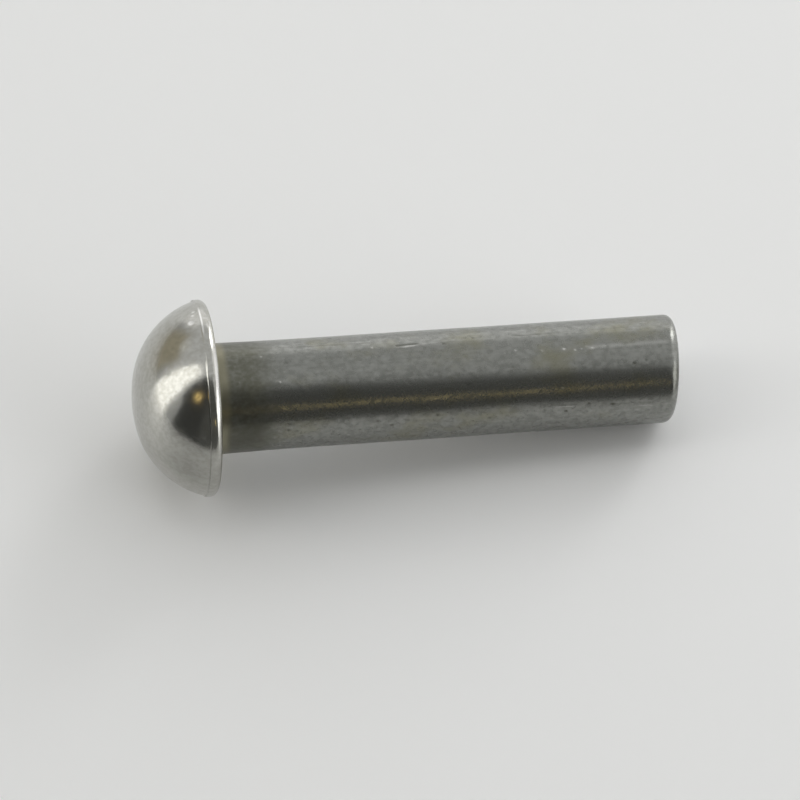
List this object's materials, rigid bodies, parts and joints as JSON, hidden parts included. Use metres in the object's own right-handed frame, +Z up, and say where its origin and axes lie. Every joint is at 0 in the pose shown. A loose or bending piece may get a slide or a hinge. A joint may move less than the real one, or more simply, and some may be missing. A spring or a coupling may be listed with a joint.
{
  "type": "solid round head rivet",
  "caption": "Solid steel rivet: a domed round head with a thin rim band on a plain round shank, the tail cropped slightly out of square.",
  "frame": {"origin": "middle of the flat, cropped tail end, on the surface that the rivet stands on", "axes": "+Z up, square to the tail end; the shank leans 4.4 degrees from +Z towards -X, because its end is cropped that much out of square; the head is up"},
  "size_m": [0.0108, 0.0108, 0.03],
  "materials": {
    "steel": "bright, polished head; dull drawn shank"
  },
  "bodies": {
    "root": {"rivet": "steel"}
  },
  "joints": []
}
